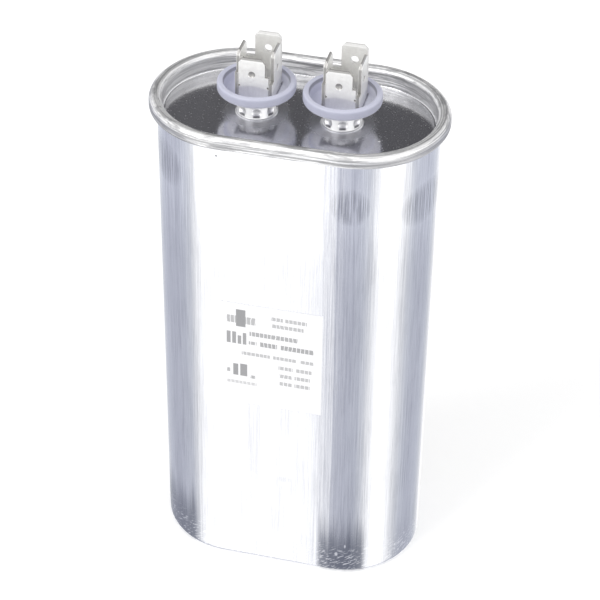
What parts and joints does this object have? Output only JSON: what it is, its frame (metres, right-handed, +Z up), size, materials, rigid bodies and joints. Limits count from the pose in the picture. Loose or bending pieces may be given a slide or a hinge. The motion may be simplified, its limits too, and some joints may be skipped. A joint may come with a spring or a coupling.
{
  "type": "oval motor run capacitor",
  "caption": "Oval aluminium can with a folded seam rim and a recessed cover that carries cup-shaped insulators and folded push-on tab terminals.",
  "frame": {"origin": "middle of the base, on the surface the case stands on", "axes": "+Z up towards the terminals, +X along the long side of the oval, -Y is the front with the label"},
  "size_m": [0.0724, 0.0436, 0.1463],
  "materials": {
    "aluminium": "drawn and brushed up and down, satin",
    "tinplate": "bright tin plate",
    "compound": "matt black",
    "label_film": "satin pale film with plain printed bars",
    "cup_plastic": "moulded, half gloss, lavender grey",
    "tinned_brass": "satin tin plating over brass",
    "plated_steel": "bright zinc plating",
    "board": "pressed board, matt",
    "zinc_spray": "rough sprayed zinc",
    "film": "metallised film, wound smooth",
    "core_plastic": "natural plastic",
    "liner_paper": "kraft paper sleeve"
  },
  "bodies": {
    "root": {"case": "aluminium", "cover": "tinplate", "seam_compound": "compound", "label": "label_film", "cup_left": "cup_plastic", "cup_right": "cup_plastic", "terminal_left": "tinned_brass", "terminal_right": "tinned_brass", "rivet_left": "plated_steel", "rivet_right": "plated_steel", "gasket_left": "compound", "gasket_right": "compound", "washer_left": "board", "washer_right": "board", "contact_tab_left": "tinned_brass", "contact_tab_right": "tinned_brass", "lead_left": "tinned_brass", "lead_right": "tinned_brass", "barrier_plate": "board", "top_insulator": "board", "end_spray_top": "zinc_spray", "winding": "film", "winding_core": "core_plastic", "end_spray_bottom": "zinc_spray", "bottom_insulator": "board", "case_liner": "liner_paper"}
  },
  "joints": []
}
